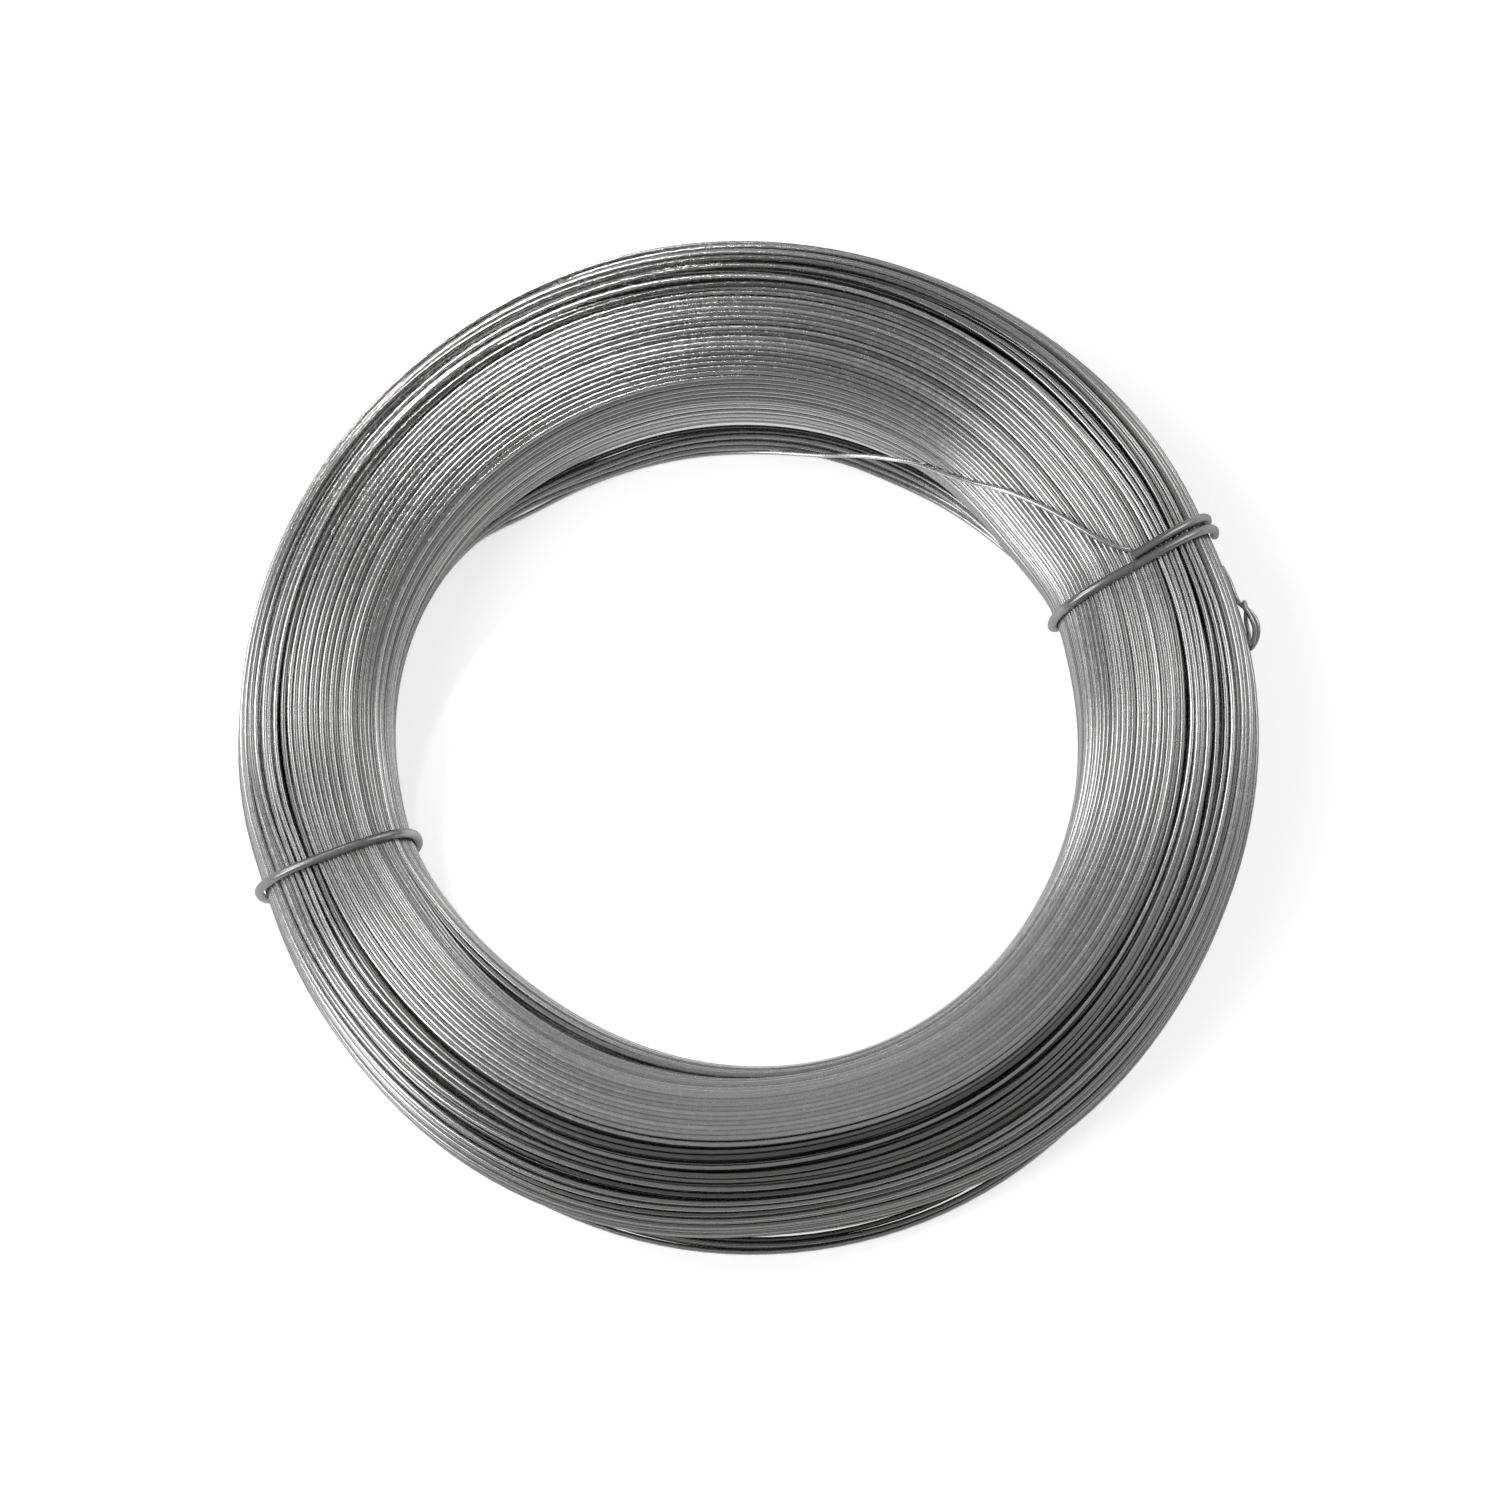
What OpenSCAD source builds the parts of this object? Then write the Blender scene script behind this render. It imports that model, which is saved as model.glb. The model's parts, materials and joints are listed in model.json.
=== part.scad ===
// Coil of galvanized wire lying flat, held by two tie wires.
// Millimetres, +Z up. The origin is on the coil's axis, at the floor.

/* [Wire] */
// Diameter of the coiled wire
wire_diameter = 0.7; // [0.5:0.05:1.0]
// Spacing of neighbouring turns, as a share of the wire diameter
turn_spacing = 1.06; // [1.04:0.02:1.3]

/* [Coil] */
// Diameter of the bore inside the turns
bore_diameter = 96; // [70:1:140]
// Width of the bundle, from the bore to the outer wall
bundle_width = 24.5; // [18:0.5:34]
// Height of the bundle as it lies
bundle_height = 24; // [18:0.5:34]
// Rounding of the bundle's section, as a share of half its smaller side
bundle_rounding = 0.66; // [0.5:0.02:0.8]

/* [Ties] */
// Diameter of the tie wires
tie_diameter = 1.3; // [1.0:0.05:1.6]
// Clearance between a tie and the turns under it, and between its own lapped strands
tie_clearance = 0.15; // [0.05:0.05:0.25]
// How far a tie draws the turns in, on top and on the outer wall
tie_draw = 0.6; // [0.3:0.1:1.0]
// How far a tie stays back from the bore and from the floor
tie_setback = 0.1; // [0.05:0.05:0.3]
// Direction of the left tie, counted round the coil in degrees
left_tie_angle = 197.5; // [188:0.5:204]
// Direction of the right tie, counted round the coil in degrees
right_tie_angle = 23.5; // [22:0.5:28]
// Slant of the left tie across the bundle, in degrees
left_tie_slant = 4; // [0:0.5:8]
// Slant of the right tie across the bundle, in degrees
right_tie_slant = 7.5; // [4:0.5:8]
// Length over which the ends of the left tie lap, under the bundle
left_tie_lap = 6; // [3:0.5:8]
// How far the right tie's first end starts inside the middle of the bundle
right_tie_lap = 1; // [0:0.5:2]

/* [Free ends] */
// Gap between a free end and the turns that it lies on
end_gap = 0.15; // [0.05:0.05:0.3]
// Direction in which the inner end leaves the bundle, in degrees
inner_end_angle = 64; // [50:1:90]
// Direction of the middle of the outer end's curl, in degrees
curl_angle = 13; // [8:0.5:14]
// Level of the outer end on the outer wall, as a share of the way up the bundle
outer_end_share = 0.56; // [0.4:0.02:0.6]
// Radius of the curl, to the middle of its wire
curl_radius = 0.75; // [0.65:0.05:1.0]
// Length of the curl along the outer wall
curl_length = 5; // [4:0.5:6]

/* [Hidden] */
wire_radius = wire_diameter / 2;
tie_radius = tie_diameter / 2;
bore_radius = bore_diameter / 2;
outer_radius = bore_radius + bundle_width;
bundle_corner = bundle_rounding * min(bundle_width, bundle_height) / 2;
bundle_middle = (outer_radius + bore_radius) / 2;
turn_pitch = wire_diameter * turn_spacing;

// The waist under a tie is set back from the bore and the floor, and drawn in on top and outside
waist_setback = tie_diameter + tie_clearance + tie_setback;
waist_inner = bore_radius + waist_setback;
waist_outer = outer_radius - tie_draw;
waist_low = waist_setback;
waist_high = bundle_height - tie_draw;
waist_corner = bundle_corner - tie_draw / 2;

// The middle line of a tie runs round the waist
tie_offset = tie_radius + tie_clearance;
tie_corner = waist_corner + tie_offset;
tie_inner = waist_inner - tie_offset;
tie_outer = waist_outer + tie_offset;
tie_low = waist_low - tie_offset;
tie_high = waist_high + tie_offset;
tie_pitch = tie_diameter + tie_clearance;
corner_steps = 8;
points_each_round = 4 * (corner_steps + 1);
tie_reach = 0.64 * tie_pitch + tie_radius;
waist_width = 2 * (tie_reach + tie_clearance);
tie_sides = 10;

// The middle line of a free end lies this far outside the turns
end_lift = wire_radius + end_gap;
end_sides = 8;
degrees_per_radian = 180 / PI;

function unit(v) = v / norm(v);

function around(angle, r, z) = [r * cos(angle), r * sin(angle), z];

// A point of a rounded corner, with the direction in which the outline faces there
function corner_point(x, z, c, angle) = [x + c * cos(angle), z + c * sin(angle), angle];

// A rounded section's outline, from the top of its inner wall over the top, down the outside and back
// underneath: straights and quarter circles, measured along their length
function legs(w, h, c) = [PI / 2 * c, w - 2 * c, PI / 2 * c, h - 2 * c, PI / 2 * c, w - 2 * c, PI / 2 * c];

function sum_to(v, n) = n <= 0 ? 0 : v[n - 1] + sum_to(v, n - 1);

function leg_at(v, s, n = 0) = n >= 6 || s <= sum_to(v, n + 1) ? n : leg_at(v, s, n + 1);

function outline_point(s, x0, x1, z0, z1, c) =
    let (v = legs(x1 - x0, z1 - z0, c))
    let (leg = leg_at(v, s))
    let (d = s - sum_to(v, leg))
    let (turn = d / c * degrees_per_radian)
    leg == 0 ? corner_point(x0 + c, z1 - c, c, 180 - turn) :
    leg == 1 ? [x0 + c + d, z1, 90] :
    leg == 2 ? corner_point(x1 - c, z1 - c, c, 90 - turn) :
    leg == 3 ? [x1, z1 - c - d, 0] :
    leg == 4 ? corner_point(x1 - c, z0 + c, c, -turn) :
    leg == 5 ? [x1 - c - d, z0, -90] :
    corner_point(x0 + c, z0 + c, c, -90 - turn);

// Middles of the turns that show on the ends and the outer wall
inset_corner = bundle_corner - wire_radius;
inset_length = sum_to(legs(bundle_width - wire_diameter, bundle_height - wire_diameter, inset_corner), 7);
turn_count = floor(inset_length / turn_pitch);
turn_middles = [
    for (i = [0 : turn_count - 1])
        outline_point((i + 0.5) * inset_length / turn_count, bore_radius + wire_radius, outer_radius - wire_radius,
            wire_radius, bundle_height - wire_radius, inset_corner)
];

// Section of the bundle: round turns on its ends and outer wall, and a plain wall towards the bore
turn_facets = [72, 36, 0, -36, -72];

function round_turn(p) = [
    for (a = turn_facets)
        [p[0] + wire_radius * cos(p[2] + a), p[1] + wire_radius * sin(p[2] + a)]
];

module bundle_section() {
    polygon(concat([for (p = turn_middles) each round_turn(p)],
        [[bore_radius, bundle_corner], [bore_radius, bundle_height - bundle_corner]]));
}

// A quarter circle of a tie or waist outline, in even steps
function quarter(x, z, c, from, steps) =
    [for (i = [0 : steps]) [x + c * cos(from - 90 * i / steps), z + c * sin(from - 90 * i / steps)]];

// What a tie's waist takes off the bundle: all that lies outside the drawn-in section
module waist_section() {
    difference() {
        translate([bore_radius - tie_diameter, -tie_diameter])
            square([bundle_width + 2 * tie_diameter, bundle_height + 2 * tie_diameter]);
        polygon(concat(
            quarter(waist_outer - waist_corner, waist_high - waist_corner, waist_corner, 90, 4),
            quarter(waist_outer - waist_corner, waist_low + waist_corner, waist_corner, 0, 4),
            quarter(waist_inner + waist_corner, waist_low + waist_corner, waist_corner, -90, 4),
            quarter(waist_inner + waist_corner, waist_high - waist_corner, waist_corner, 180, 4)));
    }
}

module waist() {
    rotate([90, 0, 0])
        linear_extrude(height = waist_width, center = true)
            waist_section();
}

// Puts something drawn across the bundle at a direction, slanted about the bundle's middle
module across(angle, slant) {
    rotate([0, 0, angle])
        translate([bundle_middle, 0, 0])
            rotate([0, 0, slant])
                translate([-bundle_middle, 0, 0])
                    children();
}

// The wound turns as one turned solid with its bore, drawn in where the ties go round
module coil() {
    color([0.66, 0.67, 0.68])
        difference() {
            rotate_extrude($fn = 72)
                bundle_section();
            across(left_tie_angle, left_tie_slant)
                waist();
            across(right_tie_angle, right_tie_slant)
                waist();
        }
}

// Round wire along a path, with flat cut ends; side is a direction that the path never takes
module wire(path, r, side, sides) {
    last = len(path) - 1;
    rings = [
        for (i = [0 : last])
            let (t = unit(path[min(i + 1, last)] - path[max(i - 1, 0)]))
            let (u = unit(side - (side * t) * t))
            let (v = cross(t, u))
            for (k = [0 : sides - 1])
                path[i] + r * (cos(360 * k / sides) * u + sin(360 * k / sides) * v)
    ];
    walls = [
        for (i = [0 : last - 1])
            for (k = [0 : sides - 1])
                let (n = (k + 1) % sides)
                [i * sides + k, (i + 1) * sides + k, (i + 1) * sides + n, i * sides + n]
    ];
    first_cap = [for (k = [0 : sides - 1]) k];
    last_cap = [for (k = [sides - 1 : -1 : 0]) last * sides + k];
    polyhedron(points = rings, faces = concat([first_cap], walls, [last_cap]), convexity = 6);
}

// Inner end: starts on the shoulder above the bore's wall, lies over the top and stops beside the right tie
shoulder_turn = acos((bundle_corner - wire_radius - tie_setback) / (bundle_corner + end_lift));
inner_end_start = (bundle_corner + end_lift) * shoulder_turn / degrees_per_radian;
inner_end_stop = PI / 2 * (bundle_corner + end_lift) + bundle_width / 2 - bundle_corner;
inner_end_side = tie_reach + end_lift;
inner_end_last = right_tie_angle + inner_end_side / bundle_middle * degrees_per_radian;
inner_end_steps = 24;

function inner_end_point(t) =
    let (p = outline_point(inner_end_start + (inner_end_stop - inner_end_start) * t, bore_radius - end_lift,
        outer_radius + end_lift, -end_lift, bundle_height + end_lift, bundle_corner + end_lift))
    around(inner_end_angle + (inner_end_last - inner_end_angle) * t, p[0], p[1]);

module inner_end() {
    color([0.66, 0.67, 0.68])
        wire([for (i = [0 : inner_end_steps]) inner_end_point(i / inner_end_steps)], wire_radius, [0, 0, 1], end_sides);
}

// Outer end: runs along the outer wall from the right tie and ends in a curl hooked at the outermost turns
outer_end_level = bundle_height * outer_end_share;
curl_middle = outer_radius + end_lift + curl_radius;
curl_turns = 2;
curl_span = curl_length / outer_radius * degrees_per_radian;
run_start = right_tie_angle + (bundle_width / 2 * sin(right_tie_slant) - tie_reach - end_lift) / outer_radius
    * degrees_per_radian;
run_stop = curl_angle + curl_span * 0.62;
run_steps = 6;
curl_steps = 32;

function run_point(t) =
    around(run_start + (run_stop - run_start) * t, outer_radius + end_lift, outer_end_level);

function curl_point(t) =
    let (turn = 180 + 360 * curl_turns * t)
    around(curl_angle + curl_span * (0.5 - t), curl_middle + curl_radius * cos(turn),
        outer_end_level + curl_radius * sin(turn));

module outer_end() {
    color([0.66, 0.67, 0.68])
        wire(concat([for (i = [0 : run_steps]) run_point(i / run_steps)],
            [for (i = [0 : curl_steps]) curl_point(i / curl_steps)]), wire_radius, around(curl_angle, 1, 0.3), end_sides);
}

// The corners of a tie's middle line, in the plane across the bundle
tie_outer_top = quarter(tie_outer - tie_corner, tie_high - tie_corner, tie_corner, 90, corner_steps);
tie_outer_low = quarter(tie_outer - tie_corner, tie_low + tie_corner, tie_corner, 0, corner_steps);
tie_inner_low = quarter(tie_inner + tie_corner, tie_low + tie_corner, tie_corner, -90, corner_steps);
tie_inner_top = quarter(tie_inner + tie_corner, tie_high - tie_corner, tie_corner, 180, corner_steps);

// Gives a flat path its third measure: it moves sideways by one strand for each time round
function laid(path) =
    let (last = len(path) - 1)
    [for (i = [0 : last]) [path[i][0], (last / 2 - i) * tie_pitch / points_each_round, path[i][1]]];

module tie(path, angle, slant) {
    color([0.6, 0.61, 0.62])
        across(angle, slant)
            wire(laid(path), tie_radius, [0, 1, 0], tie_sides);
}

module left_tie() {
    tie(concat([[bundle_middle + left_tie_lap / 2, tie_low]], tie_inner_low, tie_inner_top, tie_outer_top,
        tie_outer_low, [[bundle_middle - left_tie_lap / 2, tie_low]]), left_tie_angle, left_tie_slant);
}

module right_tie() {
    tie(concat([[bundle_middle - right_tie_lap, tie_high]], tie_outer_top, tie_outer_low, tie_inner_low,
        tie_inner_top, tie_outer_top, [[tie_outer, outer_end_level]]), right_tie_angle, right_tie_slant);
}

coil();
inner_end();
outer_end();
left_tie();
right_tie();
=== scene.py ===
"""Coil of galvanized wire held by two tie wires: its turns, free ends, ties and finish, in metres."""

import json
import math

import bmesh
import bpy
import numpy as np
from mathutils import Matrix, Vector


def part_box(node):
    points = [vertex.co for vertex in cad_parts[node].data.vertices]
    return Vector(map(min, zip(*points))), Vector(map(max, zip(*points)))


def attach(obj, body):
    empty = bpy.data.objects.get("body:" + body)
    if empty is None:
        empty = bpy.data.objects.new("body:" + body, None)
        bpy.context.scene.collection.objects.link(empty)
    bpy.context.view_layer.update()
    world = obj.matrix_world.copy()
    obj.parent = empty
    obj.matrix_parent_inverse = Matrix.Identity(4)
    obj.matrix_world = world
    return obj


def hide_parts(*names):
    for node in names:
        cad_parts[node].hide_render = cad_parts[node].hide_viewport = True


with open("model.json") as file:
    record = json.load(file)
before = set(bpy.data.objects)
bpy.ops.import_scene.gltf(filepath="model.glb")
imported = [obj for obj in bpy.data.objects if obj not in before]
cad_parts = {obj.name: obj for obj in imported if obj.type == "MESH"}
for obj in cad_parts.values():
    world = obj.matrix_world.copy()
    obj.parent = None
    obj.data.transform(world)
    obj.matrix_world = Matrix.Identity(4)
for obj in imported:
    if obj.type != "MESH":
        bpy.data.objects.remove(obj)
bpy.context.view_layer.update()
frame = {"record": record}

# Sizes in millimetres, from the frame where it has them
MM = 0.001
BORE = frame["record"]["mounts"][0]["dims"]["r_mm"]
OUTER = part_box("coil")[1].x / MM
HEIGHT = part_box("coil")[1].z / MM
WIRE = 0.7
TIE_WIRE = 1.3
# The turns are drawn thicker than the wire and press into each other, so that their grooves stay shallow
TURN_WIRE = 0.8

# Sides of the round wires, for the turns layer by layer
TURN_SIDES = [8, 6, 6]
TIE_SIDES = 12
END_SIDES = 8

# Directions are degrees round the coil, counted from +X towards +Y. Places are degrees round its section,
# with 0 at the outer wall, 90 on top and 180 at the bore. A tie runs from its first place to its last and is
# turned out of the radius by its slant
LEFT_TIE = {"angle": 197.5, "slant": 4.0, "first": 285, "last": -105, "points": 157}
RIGHT_TIE = {"angle": 23.5, "slant": 7.5, "first": 92, "last": -355, "points": 180}
# What a tie does to the bundle: draws it in, lifts it off the floor, and over how many degrees
TIE_DRAW = 0.4
TIE_SEAT = TIE_WIRE + 0.2
TIE_REACH = 5
# How far a tie stands off the bundle everywhere, and how much more at the outer wall and at the bore
TIE_STAND_OFF = 0.12
TIE_WALL_SLACK = 0.4
TIE_BORE_SLACK = 0.25

# How far bore and outer wall leave the circle: millimetres outwards, direction and spread
BORE_SHAPE = [(3.3, 168, 28), (-0.8, 345, 40), (-0.7, 40, 8)]
WALL_SHAPE = [(-2.5, 279, 16), (-1.1, 328, 20), (-0.8, 213, 12)]
# Power of the section's rounded square, and how much less it is round the slumped near side
SQUARENESS = 2.9
SLUMP = (0.55, 275, 55)

# The turns that show lie in three layers, as deep as if each lay in the grooves of the one above it
LAYER_DEPTH = 0.86 * WIRE
CORE_DEPTH = 3.1 * WIRE
STATIONS = 72
# Letters of the pieces that each layer is cut into
LAYER_PIECES = ["ab", "a", "a"]
# Spacing of the turns in wires, where they lie close and, layer by layer, where they lie loose
CLOSE_SPACING = 1.02
LOOSE_SPACING = [1.36, 1.6, 1.6]
# The loose turns lie round this place, as far as this to both sides, the last degrees as a blend
LOOSE_PLACE = 8
LOOSE_REACH = 80
LOOSE_BLEND = 14
# The turns wander in so many waves, between the slowest and the fastest a turn, and less at the ties
WANDER_WAVES = {"count": 14, "slowest": 0.4, "fastest": 2.6}
TIE_CALM = 0.6
TIE_CALM_REACH = 7
# The turns drift round the section, one way in this direction and the other way across from it
DRIFT = 2.0
DRIFT_DIRECTION = 125
# How much deeper the loose turns of the lower layers lie
LOOSE_SINK = 0.45
random = np.random.default_rng(7)

# Long gaps between the outer turns: place, direction, spread along the coil in degrees, and strength
PARTINGS = [
    (79, 3, 11, 1.3), (58, 1, 11, 1.0), (64, 231, 8, 0.9), (50, 243, 13, 1.2),
    (70, 296, 14, 0.8), (42, 318, 13, 0.9), (66, 335, 10, 0.7), (58, 84, 14, 0.9),
    (36, 108, 12, 0.7), (62, 52, 12, 0.7), (52, 150, 13, 0.7), (70, 188, 9, 0.6),
]
# A gap of strength 1 moves the turns beside it so many degrees round the section, fading over so many
GAP_PUSH = 1.8
GAP_FADE = 13
# Below it the lower turns lie so many millimetres deeper, over so many degrees
GAP_DEPTH = 1.5
HOLLOW_WIDTH = 5
# The hollow behind the turns sprung loose at the bore's near edge: place, direction, spread and depth
EDGE_HOLLOW = (138, 228, 20, 1.8)

# Turns sprung loose at the bore's near edge, at its far foot and at the near outer wall: their places and
# directions, and how many millimetres they move
EDGE = {"first": 138, "rise": 1.5, "last": 170, "fall": 8, "inwards": 1.6, "direction": 238, "spread": 24}
FOOT = {"place": 219, "width": 5, "inwards": 3.4, "down": 2.6, "start": 46, "stop": 132, "blend": 40}
WALL = {"place": -42, "width": 4, "outwards": 4.0, "direction": 280, "spread": 20}
# The left tie holds back the turns at the edge over so many degrees
EDGE_TIE_REACH = 10
# In widths, where a group at the foot or the wall stops moving; it fades over the last width
GROUP_REACH = 1.6

# Tone of the zinc from 0, dark, to 1, light, with noise along the turns, in waves a turn
TONE = 0.42
TONE_NOISE = 0.17
TONE_WAVES = {"count": 10, "slowest": 0.1, "fastest": 0.7}
PLAIN_TONE = 0.5
# The inner end is painted lighter than the turns: a painted highlight that sets it off against them
INNER_END_PAINTED_LIGHT = 0.8
# Painted light and shade by zone: the near side is painted lighter at the bore and on top and falls to
# darker outside. The left and right sides are painted a little darker there and rise to lighter outside.
# Each side has its direction and spread
NEAR_SIDE = (285, 50)
NEAR_PAINTED_LIGHT = 0.55
NEAR_PAINTED_SHADE = 0.8
LEFT_SIDE = (192, 25)
RIGHT_SIDE = (345, 25)
SIDE_PAINTED_SHADE = 0.12
SIDE_PAINTED_LIGHT = 0.4


def bell(theta, centre, width):
    """Rise and fall round the coil, 1 at its centre, in degrees."""
    away = (theta - centre + 180) % 360 - 180
    return np.exp(-0.5 * (away / width) ** 2)


def stretch(theta, start, stop, blend):
    """1 between two directions and 0 outside them, with smooth ends, in degrees."""
    away = np.abs((theta - (start + stop) / 2 + 180) % 360 - 180)
    step = np.clip(((stop - start) / 2 + blend / 2 - away) / blend, 0, 1)
    return step * step * (3 - 2 * step)


def at_ties(theta, reach):
    """1 at each tie, falling off over some degrees."""
    return bell(theta, LEFT_TIE["angle"], reach) + bell(theta, RIGHT_TIE["angle"], reach)


def shaped(radius, bumps, theta):
    """A radius with its bumps and dents."""
    for size, centre, spread in bumps:
        radius = radius + size * bell(theta, centre, spread)
    return radius


def section(theta):
    """Inner radius, outer radius, underside and top of the bundle in each direction."""
    tied = at_ties(theta, TIE_REACH)
    inner = shaped(BORE, BORE_SHAPE, theta)
    outer = shaped(OUTER, WALL_SHAPE, theta)
    return inner + TIE_DRAW * tied, outer - TIE_DRAW * tied, TIE_SEAT * tied, HEIGHT - TIE_DRAW * tied


def squareness(theta):
    """Power of the section's rounded square, 2 for an ellipse. The slumped near side is rounder."""
    size, centre, spread = SLUMP
    return SQUARENESS - size * bell(theta, centre, spread)


def on_section(theta, around, inset):
    """Radius and height of a place on the bundle's outline, moved some way inside it."""
    inner, outer, low, high = section(theta)
    across = np.cos(np.radians(around))
    up = np.sin(np.radians(around))
    half_width = (outer - inner) / 2 - inset
    half_height = (high - low) / 2 - inset
    power = squareness(theta)
    reach = (np.abs(across / half_width) ** power + np.abs(up / half_height) ** power) ** (-1 / power)
    return np.stack([(inner + outer) / 2 + reach * across, (low + high) / 2 + reach * up], axis=-1)


def in_space(theta, spots):
    """Points in space from directions round the coil and their radius and height."""
    angle = np.radians(theta)
    return np.stack([spots[..., 0] * np.cos(angle), spots[..., 0] * np.sin(angle), spots[..., 1]], axis=-1)


def station_directions():
    """Direction of each station, as a column."""
    return (np.arange(STATIONS) * 360 / STATIONS)[:, None]


def coarseness(around):
    """0 where the turns lie close, from the bore over the top, and 1 on the outer shoulder and wall."""
    away = np.abs((around - LOOSE_PLACE + 180) % 360 - 180)
    return np.clip((LOOSE_REACH - away) / LOOSE_BLEND, 0, 1)


def wander(turns, count, slowest, fastest):
    """Noise with a spread of 1 along a closed run of turns, one value for each station of each turn. Its
    waves lie between the slowest and the fastest, counted a turn, so that neighbouring turns differ."""
    run = (np.arange(turns)[None, :] + np.arange(STATIONS)[:, None] / STATIONS) / turns
    waves = np.round(random.uniform(slowest, fastest, count) * turns)
    phases = random.uniform(0, 2 * math.pi, count)
    total = sum(np.cos(2 * math.pi * (w * run + p / (2 * math.pi))) for w, p in zip(waves, phases))
    return total * math.sqrt(2 / count)


def hollow(theta, around):
    """How much deeper the lower turns lie below the gaps between the upper ones, in millimetres."""
    deep = 0
    gaps = [(spot, centre, reach, GAP_DEPTH * strength) for spot, centre, reach, strength in PARTINGS]
    for spot, centre, reach, depth in [EDGE_HOLLOW] + gaps:
        across = np.exp(-0.5 * ((around - spot) / HOLLOW_WIDTH) ** 2)
        deep = deep + depth * bell(theta, centre, reach) * across
    return deep


def part_turns(moved, loose):
    """Moves the outer turns apart at the long gaps. A turn goes to one side along the whole of a gap, also
    where the gap runs past the first station, where each turn goes on as the next one."""
    theta = station_directions()
    turns = np.arange(moved.shape[1])[None, :]
    shift = np.zeros_like(moved)
    for spot, centre, reach, strength in PARTINGS:
        station = round(centre / 360 * STATIONS) % STATIONS
        off = np.arange(STATIONS)[:, None] - station
        passing = (turns + (off > STATIONS / 2) - (off < -STATIONS / 2)) % moved.shape[1]
        side = moved[station] - spot
        push = GAP_PUSH * strength * np.sign(side) * np.exp(-np.abs(side) / GAP_FADE)
        shift = shift + push[passing] * bell(theta, centre, reach)
    return moved + shift * loose


def lay_layer(depth, loose_spacing, sunk):
    """One layer of turns before it settles: a closed helix round the section, spaced closely at the bore and
    on top and loosely outside. Gives radius and height, station by turn, and each turn's place. Its spacing
    is worked out in one direction and begins underneath."""
    underneath = -95
    plain_direction = 100
    outline_points = 3601
    around = np.linspace(underneath, underneath + 360, outline_points)
    outline = on_section(plain_direction, around, depth)
    steps = np.linalg.norm(np.diff(outline, axis=0), axis=-1)
    length = np.concatenate([[0], np.cumsum(steps)])
    middle = (around[1:] + around[:-1]) / 2
    spacing = WIRE * (CLOSE_SPACING + (loose_spacing - CLOSE_SPACING) * coarseness(middle))
    filled = np.concatenate([[0], np.cumsum(steps / spacing)])
    turns = int(filled[-1])
    run = np.arange(turns)[None, :] + np.arange(STATIONS)[:, None] / STATIONS
    along = np.interp(run * filled[-1] / turns, filled, length)
    place = np.interp(along, length, around)

    theta = station_directions()
    loose = coarseness(place)
    calm = 1 - TIE_CALM * at_ties(theta, TIE_CALM_REACH)

    def unsteady(close, more):
        """Noise of so many wires where the turns lie close, and of so many more where they lie loose."""
        return WIRE * (close + more * loose) * calm * wander(turns, **WANDER_WAVES)

    sideways = unsteady(close=0.14, more=0.5)
    inward = unsteady(close=0.06, more=0.25)
    drifted = along + sideways - DRIFT * np.cos(np.radians(theta - DRIFT_DIRECTION))
    moved = part_turns(np.interp(drifted % length[-1], length, around), loose)
    inward = inward + sunk * (LOOSE_SINK * loose + hollow(theta, moved))
    return on_section(theta, moved, depth + inward), place


def loosen(spots, place):
    """Moves the turns that have sprung loose. Those at the bore's near edge are held by the left tie."""
    theta = station_directions()
    rise = np.clip((place - EDGE["first"]) / EDGE["rise"], 0, 1)
    fall = np.clip((EDGE["last"] - place) / EDGE["fall"], 0, 1)
    free = 1 - bell(theta, LEFT_TIE["angle"], EDGE_TIE_REACH)
    spots[..., 0] -= EDGE["inwards"] * (rise * fall) * bell(theta, EDGE["direction"], EDGE["spread"]) * free
    foot = np.clip(GROUP_REACH - np.abs(place - FOOT["place"]) / FOOT["width"], 0, 1)
    far = stretch(theta, FOOT["start"], FOOT["stop"], FOOT["blend"])
    spots[..., 0] -= FOOT["inwards"] * foot * far
    spots[..., 1] -= FOOT["down"] * foot * far
    wall = np.clip(GROUP_REACH - np.abs(place - WALL["place"]) / WALL["width"], 0, 1)
    spots[..., 0] += WALL["outwards"] * wall * bell(theta, WALL["direction"], WALL["spread"])


def next_along(spots, sizes, step):
    """The same wire one station further on or back. Past the last station each turn goes on as the next."""
    moved = np.roll(spots, -step, axis=0)
    edge = -1 if step > 0 else 0
    start = 0
    for size in sizes:
        moved[edge, start:start + size] = np.roll(moved[edge, start:start + size], -step, axis=0)
        start += size
    return moved


def settle(spots, sizes):
    """Pushes turns apart to about a wire's thickness, pulls each back to its place except in the last
    rounds, evens it along its length and holds it above the floor."""
    neighbours = 2.3 * WIRE
    rounds = 100
    pulled_rounds = 0.7 * rounds
    push_share, pull_share, even_share = 0.35, 0.04, 0.25
    least_length = 0.01
    rest = spots.copy()
    middle = spots.mean(axis=0)
    apart = np.linalg.norm(middle[:, None] - middle[None, :], axis=-1)
    first, second = np.nonzero(np.triu(apart < neighbours, 1))
    share = np.zeros((len(middle), len(first)))
    share[first, np.arange(len(first))] = 1
    share[second, np.arange(len(first))] = -1
    for count in range(rounds):
        gap = spots[:, first] - spots[:, second]
        length = np.linalg.norm(gap, axis=-1, keepdims=True)
        push = gap * np.clip(WIRE / np.maximum(length, least_length) - 1, 0, 1) * push_share
        spots = spots + share @ push
        spots = spots + (pull_share if count < pulled_rounds else 0) * (rest - spots)
        shift = spots - rest
        even = (next_along(shift, sizes, 1) + next_along(shift, sizes, -1)) / 2
        spots = spots + even_share * (even - shift)
        spots[..., 1] = np.maximum(spots[..., 1], TURN_WIRE / 2)
    return spots


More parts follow.
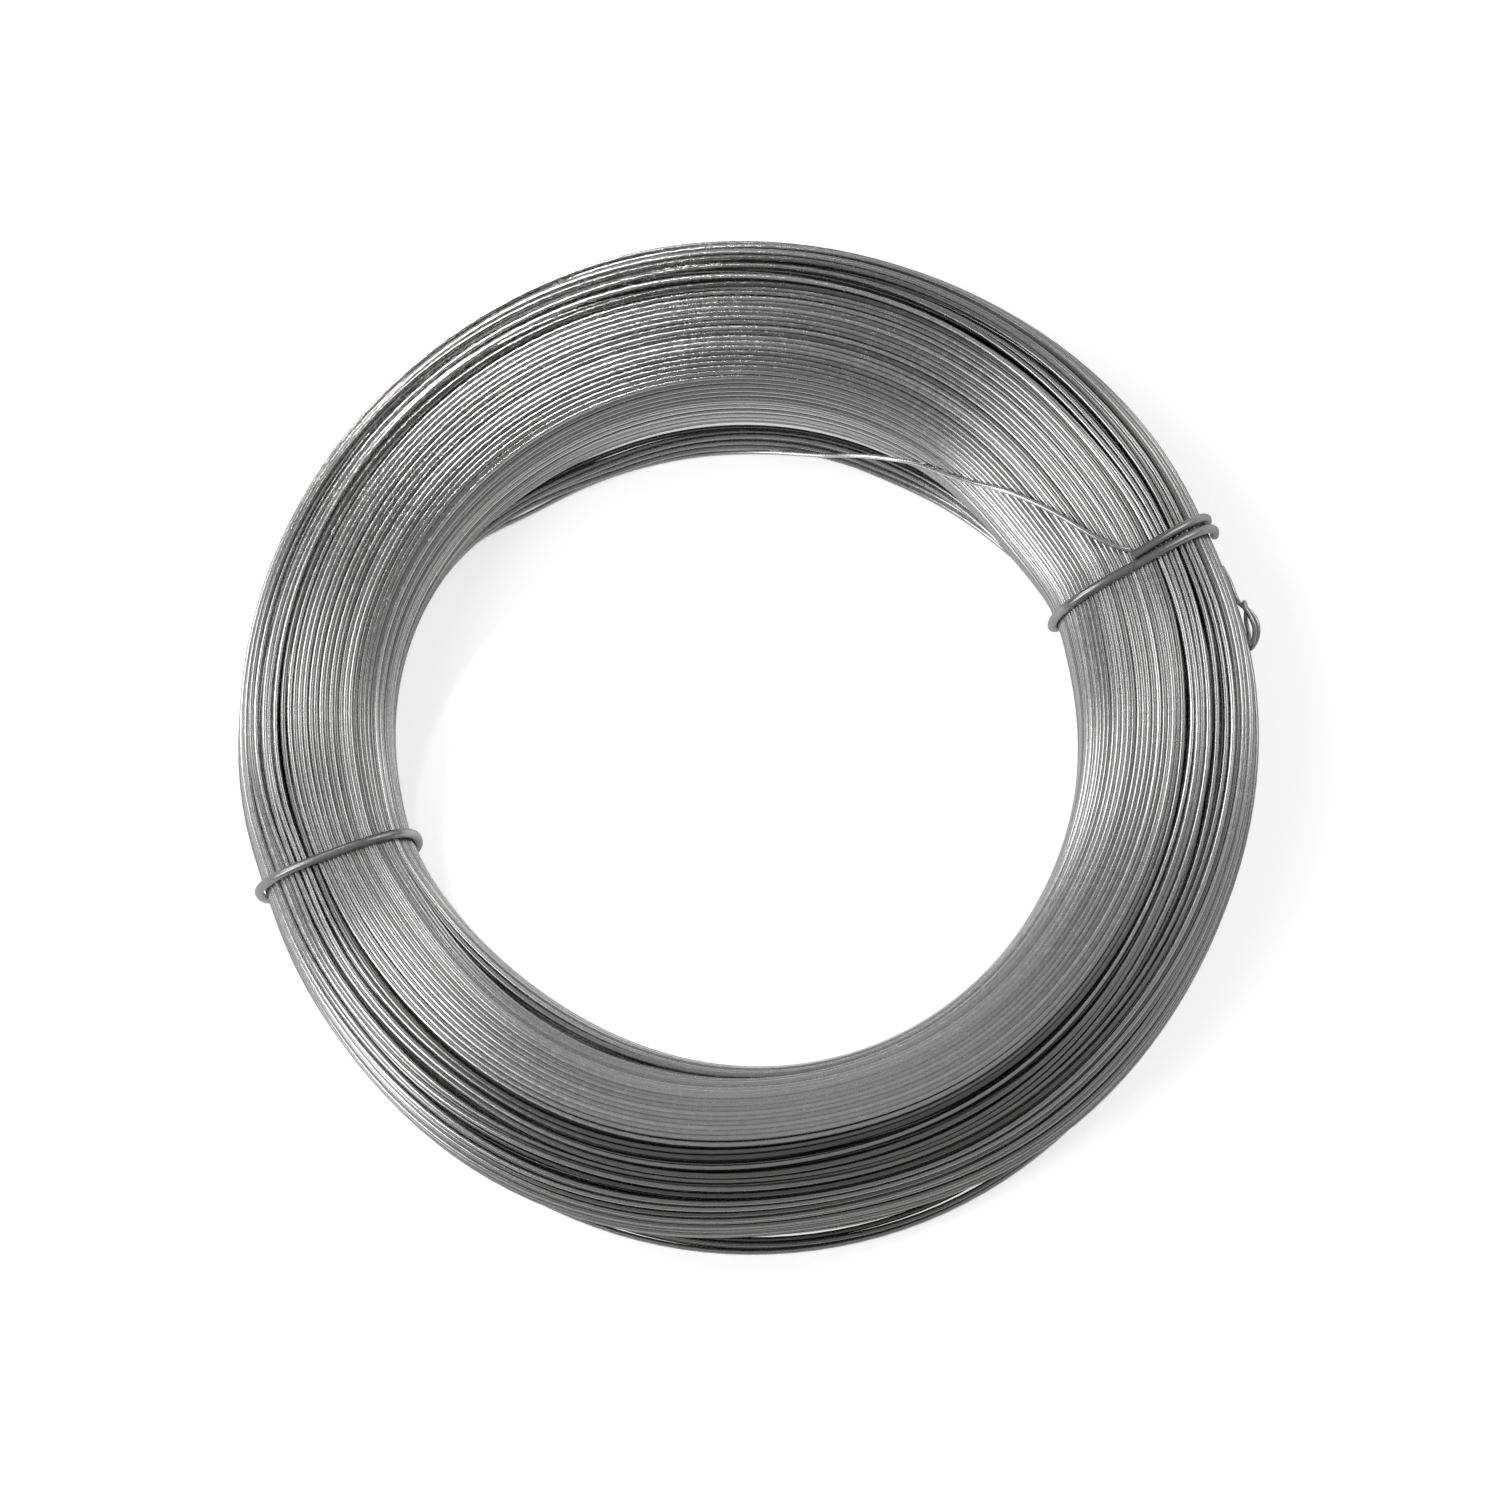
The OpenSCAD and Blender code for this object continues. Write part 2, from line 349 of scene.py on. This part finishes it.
def finer(values):
    """Doubles the points of a closed run, by the four-point rule for a smooth curve."""
    before, after, beyond = (np.roll(values, shift, axis=0) for shift in (1, -1, -2))
    between = (9 * (values + after) - before - beyond) / 16
    return np.stack([values, between], axis=1).reshape(-1, *values.shape[1:])


def linear(code):
    """Linear colour from an sRGB hex code."""
    parts = [int(code[i:i + 2], 16) / 255 for i in (1, 3, 5)]
    return [c / 12.92 if c <= 0.04045 else ((c + 0.055) / 1.055) ** 2.4 for c in parts] + [1]


def add(tree, kind, links=(), values=(), **settings):
    """Adds a node with its settings, input links and input values."""
    node = tree.nodes.new(kind)
    for name, value in settings.items():
        setattr(node, name, value)
    for socket, value in dict(values).items():
        node.inputs[socket].default_value = value
    for socket, source in dict(links).items():
        tree.links.new(source, node.inputs[socket])
    return node


def new_material(name):
    """A material with an empty node tree."""
    material = bpy.data.materials.new(name)
    material.use_nodes = True
    material.node_tree.nodes.clear()
    return material, material.node_tree


def bright_zinc(name, dark, light, smooth, rough):
    """Zinc on drawn wire: a grey mirror broken up by fine frosting and grit, so that its highlights sparkle.
    Its tone goes from dark to light by the attribute shade, which also carries painted light and shade."""
    frost_size = 0.9 * MM
    grit_size = 0.45 * MM
    grit_height = 0.05 * MM
    material, tree = new_material(name)
    place = add(tree, "ShaderNodeTexCoord")
    shade = add(tree, "ShaderNodeAttribute", attribute_name="shade")
    frost = add(tree, "ShaderNodeTexNoise", {"Vector": place.outputs["Object"]},
                {"Scale": 1 / frost_size, "Detail": 3.0})
    grit = add(tree, "ShaderNodeTexNoise", {"Vector": place.outputs["Object"]},
               {"Scale": 1 / grit_size, "Detail": 2.0})
    # The colour sockets of a Mix node are known by number: 6 and 7 go in, 2 comes out
    tone = add(tree, "ShaderNodeMix", {0: shade.outputs["Fac"]}, {6: linear(dark), 7: linear(light)},
               data_type="RGBA")
    dull = add(tree, "ShaderNodeMapRange", {"Value": frost.outputs["Fac"]},
               {"From Min": 0.3, "From Max": 0.7, "To Min": smooth, "To Max": rough})
    relief = add(tree, "ShaderNodeBump", {"Height": grit.outputs["Fac"]},
                 {"Strength": 0.065, "Distance": grit_height})
    zinc = add(tree, "ShaderNodeBsdfPrincipled",
               {"Base Color": tone.outputs[2], "Roughness": dull.outputs["Result"],
                "Normal": relief.outputs["Normal"]},
               {"Metallic": 1.0})
    add(tree, "ShaderNodeOutputMaterial", {"Surface": zinc.outputs["BSDF"]})
    return material


def wire_piece(name, points, diameter, sides, material, shade=None, twist="MINIMUM"):
    """A round wire along points in millimetres, on the coil's body. Shade is its tone at each point, with
    painted light and shade where the turns have them.
    """
    line = bpy.data.curves.new(name, "CURVE")
    line.dimensions = "3D"
    line.bevel_depth = diameter / 2 * MM
    line.bevel_resolution = sides // 2 - 2
    line.use_fill_caps = True
    line.twist_mode = twist
    spline = line.splines.new("POLY")
    spline.points.add(len(points) - 1)
    spline.points.foreach_set("co", np.c_[points * MM, np.ones(len(points))].ravel())
    bent = bpy.data.objects.new(name, line)
    bpy.context.scene.collection.objects.link(bent)
    mesh = bpy.data.meshes.new_from_object(bent.evaluated_get(bpy.context.evaluated_depsgraph_get()))
    bpy.data.objects.remove(bent)
    mesh.materials.clear()
    mesh.materials.append(material)
    mesh.shade_smooth()
    values = np.full(len(mesh.vertices), PLAIN_TONE)
    if shade is not None:
        # The rings of the two end caps come first
        values[-len(points) * sides:] = np.repeat(shade, sides)
    mesh.attributes.new("shade", "FLOAT", "POINT").data.foreach_set("value", values.astype(np.float32))
    piece = bpy.data.objects.new(name, mesh)
    bpy.context.scene.collection.objects.link(piece)
    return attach(piece, "root")


# The tie wire is duller than the coil's wire: its highlights are broader and weaker
# Between these two colours the attribute shade puts painted light and shade on the turns, besides their own
# tone
coil_zinc = bright_zinc("bright_galvanized_wire", "#7C7B7A", "#E6E6E6", 0.19, 0.3)
tie_zinc = bright_zinc("dull_galvanized_tie_wire", "#959595", "#B4B4B3", 0.26, 0.4)


def tone_with_painted_light(theta, loose, noise):
    """Tone of the zinc along the turns, with painted light and shade by zone on the near, left and right
    sides; loose is 0 at the bore and on top, and 1 outside.
    """
    # Painted light and shade, not a tone of the zinc itself: lighter and darker turns on the near, left and
    # right sides
    near = bell(theta, *NEAR_SIDE) * (NEAR_PAINTED_LIGHT - NEAR_PAINTED_SHADE * loose)
    beside = (bell(theta, *LEFT_SIDE) + bell(theta, *RIGHT_SIDE)) * (SIDE_PAINTED_LIGHT * loose - SIDE_PAINTED_SHADE)
    return TONE + TONE_NOISE * noise + near + beside


def draw_layer(number, spots, place):
    """One layer of turns as its pieces. The first piece of the outermost layer takes the coil's place."""
    run = finer(spots.transpose(1, 0, 2).reshape(-1, 2))
    theta = np.arange(len(run)) * 180 / STATIONS
    loose = finer(coarseness(place).T.reshape(-1))
    noise = finer(wander(spots.shape[1], **TONE_WAVES).T.reshape(-1))
    # Random tone along the turns plus painted light and shade by zone
    shade = tone_with_painted_light(theta, loose, noise)
    points = in_space(theta, run)
    closed = np.concatenate([points, points[:1]])
    shades = np.concatenate([shade, shade[:1]])
    letters = LAYER_PIECES[number]
    cuts = np.linspace(0, len(points), len(letters) + 1).astype(int)
    for index, letter in enumerate(letters):
        span = slice(cuts[index], cuts[index + 1] + 1)
        piece = wire_piece(f"turns_layer_{number + 1}_{letter}", closed[span], TURN_WIRE, TURN_SIDES[number],
                           coil_zinc, shades[span], "Z_UP")
        if number == 0 and index == 0:
            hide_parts("coil")


def draw_turns():
    """All layers of turns, settled against each other. Only the lower layers are sunk."""
    layers = []
    for number, loose_spacing in enumerate(LOOSE_SPACING):
        layers.append(lay_layer(WIRE / 2 + number * LAYER_DEPTH, loose_spacing, sunk=min(number, 1)))
    places = [place for laid, place in layers]
    sizes = [place.shape[1] for place in places]
    spots = np.concatenate([laid for laid, place in layers], axis=1)
    loosen(spots, np.concatenate(places, axis=1))
    spots = settle(spots, sizes)
    start = 0
    for number, size in enumerate(sizes):
        draw_layer(number, spots[:, start:start + size], places[number])
        start += size


draw_turns()


def deep_core():
    """The turns below the layers that show, as one ring, drawn in the zinc's darkest tone as painted shade.
    """
    section_points = 48
    form = bmesh.new()
    around = np.linspace(0, 360, section_points, endpoint=False)
    ring = [form.verts.new(in_space(0.0, on_section(0.0, a, CORE_DEPTH)) * MM) for a in around]
    edges = [form.edges.new((ring[i], ring[(i + 1) % len(ring)])) for i in range(len(ring))]
    bmesh.ops.spin(form, geom=ring + edges, cent=(0, 0, 0), axis=(0, 0, 1), angle=2 * math.pi,
                   steps=STATIONS, use_merge=True)
    inner, outer, low, high = section(0.0)
    for vert in form.verts:
        theta = math.degrees(math.atan2(vert.co.y, vert.co.x))
        out = math.hypot(vert.co.x, vert.co.y) / MM - (inner + outer) / 2
        up = vert.co.z / MM - (low + high) / 2
        turn = math.degrees(math.atan2(up, out))
        deep = CORE_DEPTH + hollow(theta, turn % 360)
        vert.co = in_space(theta, on_section(theta, turn, deep)) * MM
    bmesh.ops.recalc_face_normals(form, faces=form.faces)
    mesh = bpy.data.meshes.new("deep_turns")
    form.to_mesh(mesh)
    form.free()
    mesh.shade_smooth()
    # Without the attribute shade it takes the zinc's darkest colour: painted shade that darkens the gaps
    # between the turns above
    mesh.materials.append(coil_zinc)
    core = bpy.data.objects.new("deep_turns", mesh)
    bpy.context.scene.collection.objects.link(core)
    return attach(core, "root")


deep_core()


def tie_places(tie):
    """Places round the section along a tie, from its first end to its last."""
    return np.linspace(tie["first"], tie["last"], tie["points"])


def tie_path(tie, laps):
    """A tie's middle line round the bundle; laps is how far it is moved sideways. It lies on the floor
    underneath."""
    theta = tie["angle"]
    inner, outer = section(theta)[:2]
    middle = (inner + outer) / 2
    around = tie_places(tie)
    across = np.cos(np.radians(around))
    slack = TIE_STAND_OFF + np.where(across > 0, TIE_WALL_SLACK, TIE_BORE_SLACK) * across ** 2
    spots = on_section(theta, around, -TIE_WIRE / 2 - slack)
    out = spots[:, 0] - middle
    turn = math.radians(theta + tie["slant"])
    centre = middle * np.array([math.cos(math.radians(theta)), math.sin(math.radians(theta))])
    x = centre[0] + out * math.cos(turn) - laps * math.sin(turn)
    y = centre[1] + out * math.sin(turn) + laps * math.cos(turn)
    return np.stack([x, y, np.maximum(spots[:, 1], TIE_WIRE / 2)], axis=-1)


# Left tie: goes round once and laps underneath
LEFT_LAP = 0.7
left = tie_path(LEFT_TIE, np.linspace(LEFT_LAP, -LEFT_LAP, LEFT_TIE["points"]))
piece = wire_piece("left_tie_wire", left, TIE_WIRE, TIE_SIDES, tie_zinc)
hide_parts("left_tie")

# Right tie: goes round once and a quarter and laps over the top. The places are counted backwards here, and
# each has its sideways shift
RIGHT_LAP_PLACES = [-92, -20, 180, 268, 330, 355]
RIGHT_LAPS = [0.65, 1.0, 0.2, -0.65, -0.9, -1.1]
right = tie_path(RIGHT_TIE, np.interp(-tie_places(RIGHT_TIE), RIGHT_LAP_PLACES, RIGHT_LAPS))
piece = wire_piece("right_tie_wire", right, TIE_WIRE, TIE_SIDES, tie_zinc)
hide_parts("right_tie")


def smooth_path(knots, count):
    """A smooth line through a few points, in even steps from each to the next."""
    knots = np.array(knots, float)
    padded = np.concatenate([[2 * knots[0] - knots[1]], knots, [2 * knots[-1] - knots[-2]]])
    spans = len(knots) - 1
    steps = np.linspace(0, spans, count)
    index = np.minimum(steps.astype(int), spans - 1)
    t = (steps - index)[:, None]
    a, b, c, d = (padded[index + k] for k in range(4))
    return 0.5 * (2 * b + (c - a) * t + (2 * a - 5 * b + 4 * c - d) * t ** 2
                  + (3 * b - a - 3 * c + d) * t ** 3)


def outside(theta, spots, lift):
    """Moves points that would lie inside the bundle out to its surface and a little further."""
    inner, outer, low, high = section(theta)
    off = spots - np.stack([(inner + outer) / 2, (low + high) / 2], axis=-1)
    half = np.stack([(outer - inner) / 2, (high - low) / 2], axis=-1) + lift
    power = squareness(theta)[:, None]
    deep = (np.abs(off / half) ** power).sum(axis=-1, keepdims=True) ** (1 / power)
    return spots + off * (1 / np.minimum(deep, 1) - 1)


# Inner end: direction, radius and height, from the foot of the bore over the top to the right tie's side
INNER_END = [
    (155, 53.5, 3.4), (142, 51.0, 2.4), (130, 48.0, 1.2), (112, 46.2, 0.8), (97, 45.45, 1.0),
    (86, 45.1, 2.4), (77, 45.0, 5.2), (70, 45.7, 8.5), (62, 47.0, 11.3), (54, 48.2, 16.0),
    (49.3, 49.0, 18.6), (44.5, 50.25, 21.0), (41.0, 51.1, 22.5), (36.4, 52.7, 23.5), (31.8, 54.55, 24.05),
    (28.8, 56.0, 24.25), (27.0, 57.3, 24.3), (26.05, 58.15, 24.3), (25.05, 59.5, 24.05),
]
INNER_END_STEPS = 130
knots = smooth_path(INNER_END, INNER_END_STEPS)
spots = outside(knots[:, 0], knots[:, 1:], TURN_WIRE / 2)
# Its lighter tone is a painted highlight
piece = wire_piece("inner_wire_end", in_space(knots[:, 0], spots), WIRE, END_SIDES, coil_zinc,
                   np.full(INNER_END_STEPS, INNER_END_PAINTED_LIGHT))
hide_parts("inner_end")

# Outer end: comes out of the outer wall beside the right tie and is twisted into a small knot with an eye
KNOT_LEVEL = 13.0
KNOT_ANGLE = 13.0
KNOT_RADIUS = 72.9
# Millimetres from the knot's middle: along the wall towards the near side, outwards and up
KNOT = [
    (-9.5, -0.4, 0.0), (-7.0, -0.05, 0.0), (-4.8, 0.0, 0.0), (-3.4, 0.3, 0.3), (-1.8, 1.4, 0.5),
    (0.0, 1.9, 0.4), (1.8, 1.5, 0.1), (3.1, 0.4, -0.4), (2.4, 0.3, -1.0), (0.8, 0.55, -1.0),
    (-1.0, 0.6, -0.8), (-2.6, 1.0, -0.3), (-3.4, 0.9, 0.7), (-2.6, 0.6, 1.2), (-1.2, 1.0, 1.3),
    (0.4, 1.25, 1.1), (1.6, 1.0, 0.8), (2.7, 0.5, 0.5),
]
KNOT_STEPS = 120
knots = smooth_path(KNOT, KNOT_STEPS)
knots = np.stack([KNOT_ANGLE - np.degrees(knots[:, 0] / KNOT_RADIUS), KNOT_RADIUS + knots[:, 1],
                  KNOT_LEVEL + knots[:, 2]], axis=-1)
piece = wire_piece("outer_wire_end", in_space(knots[:, 0], knots[:, 1:]), WIRE, END_SIDES, coil_zinc)
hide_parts("outer_end")


def floor_paper():
    """White paper under the coil: matt, with the coil's shadow. It glows, so that the eye sees it white, and
    a little in reflections."""
    half_size = 3.0
    seen_glow = 0.6
    mirrored_glow = 0.12
    material, tree = new_material("white_paper_floor")
    ray = add(tree, "ShaderNodeLightPath")
    mirrored = add(tree, "ShaderNodeMath",
                   {0: ray.outputs["Is Glossy Ray"], 1: ray.outputs["Is Transmission Ray"]}, operation="ADD")
    faint = add(tree, "ShaderNodeMath", {0: mirrored.outputs[0]}, {1: mirrored_glow}, operation="MULTIPLY")
    lift = add(tree, "ShaderNodeMath", {0: ray.outputs["Is Camera Ray"], 2: faint.outputs[0]},
               {1: seen_glow}, operation="MULTIPLY_ADD")
    matt = add(tree, "ShaderNodeBsdfDiffuse", values={"Color": linear("#F4F4F4")})
    glow = add(tree, "ShaderNodeEmission", {"Strength": lift.outputs[0]})
    both = add(tree, "ShaderNodeAddShader", {0: matt.outputs[0], 1: glow.outputs[0]})
    add(tree, "ShaderNodeOutputMaterial", {"Surface": both.outputs[0]})
    form = bmesh.new()
    bmesh.ops.create_grid(form, x_segments=1, y_segments=1, size=half_size)
    mesh = bpy.data.meshes.new("floor")
    form.to_mesh(mesh)
    form.free()
    mesh.materials.append(material)
    floor = bpy.data.objects.new("floor", mesh)
    bpy.context.scene.collection.objects.link(floor)


floor_paper()

# Camera: high above the near side, as the coil was looked at; its shift is in pixels of the picture
TARGET = Vector((0, 0, HEIGHT / 2 * MM))
CAMERA_DIRECTION = -90
CAMERA_ELEVATION = 79
CAMERA_DISTANCE = 0.7
SENSOR_WIDTH = 36
FOCAL_LENGTH = 117.5
IMAGE = 1500
SHIFT = (1, -9)


def towards(azimuth, elevation):
    """Direction from the coil; azimuth is counted as the directions round the coil."""
    a, e = math.radians(azimuth), math.radians(elevation)
    return Vector((math.cos(a) * math.cos(e), math.sin(a) * math.cos(e), math.sin(e)))


lens = bpy.data.cameras.new("camera")
lens.sensor_width = SENSOR_WIDTH
lens.lens = FOCAL_LENGTH
lens.shift_x = SHIFT[0] / IMAGE
lens.shift_y = SHIFT[1] / IMAGE
camera = bpy.data.objects.new("camera", lens)
sight_line = towards(CAMERA_DIRECTION, CAMERA_ELEVATION)
camera.location = TARGET + sight_line * CAMERA_DISTANCE
camera.rotation_euler = sight_line.to_track_quat("Z", "Y").to_euler()
bpy.context.scene.collection.objects.link(camera)
bpy.context.scene.camera = camera
bpy.context.scene.view_settings.view_transform = "Standard"


def window(name, theta, low, high, distance, width, power, spread):
    """A lamp placed so that the turns in one direction mirror it to the camera: low and high are the tilts
    of the wire's surface, in degrees outwards from straight up, that show its two ends."""
    spot = towards(theta, 0) * (BORE + OUTER) / 2 * MM + Vector((0, 0, HEIGHT * MM))
    sight = (camera.location - spot).normalized()

    def mirrored(tilt):
        normal = towards(theta, 90 - tilt)
        return 2 * normal.dot(sight) * normal - sight

    way = mirrored((low + high) / 2).normalized()
    tall = mirrored(low) - mirrored(high)
    side = tall.cross(way).normalized()
    lamp = bpy.data.lights.new(name, "AREA")
    lamp.shape = "RECTANGLE"
    lamp.size = width
    lamp.size_y = tall.length * distance
    lamp.spread = math.radians(spread)
    lamp.energy = power
    panel = bpy.data.objects.new(name, lamp)
    panel.location = spot + way * distance
    panel.rotation_euler = Matrix((side, way.cross(side), way)).transposed().to_euler()
    bpy.context.scene.collection.objects.link(panel)


# Light: tall windows on the left and right, and three small narrow ones at the far left, in a dim grey room.
# Direction, the two tilts, distance and width in metres, watts, and spread of the light in degrees
WINDOWS = {
    "window_far_1": (113, 7, 12, 0.45, 0.08, 0.0042, 6),
    "window_far_2": (121, 17, 22, 0.45, 0.08, 0.0055, 6),
    "window_far_3": (132, 10, 15, 0.45, 0.08, 0.0045, 6),
    "window_left": (173, 10, 32, 0.85, 0.22, 1.75, 180),
    "window_near": (219, 10, 40, 0.85, 0.26, 2.9, 180),
    "window_right": (9, 10, 30, 0.85, 0.22, 0.97, 180),
    "window_right_far": (37, 10, 38, 0.85, 0.13, 0.58, 180),
}
for name, values in WINDOWS.items():
    window(name, *values)

world = bpy.data.worlds.new("dim_room")
world.use_nodes = True
world.node_tree.nodes["Background"].inputs["Color"].default_value = linear("#919191")
world.node_tree.nodes["Background"].inputs["Strength"].default_value = 1.0
bpy.context.scene.world = world
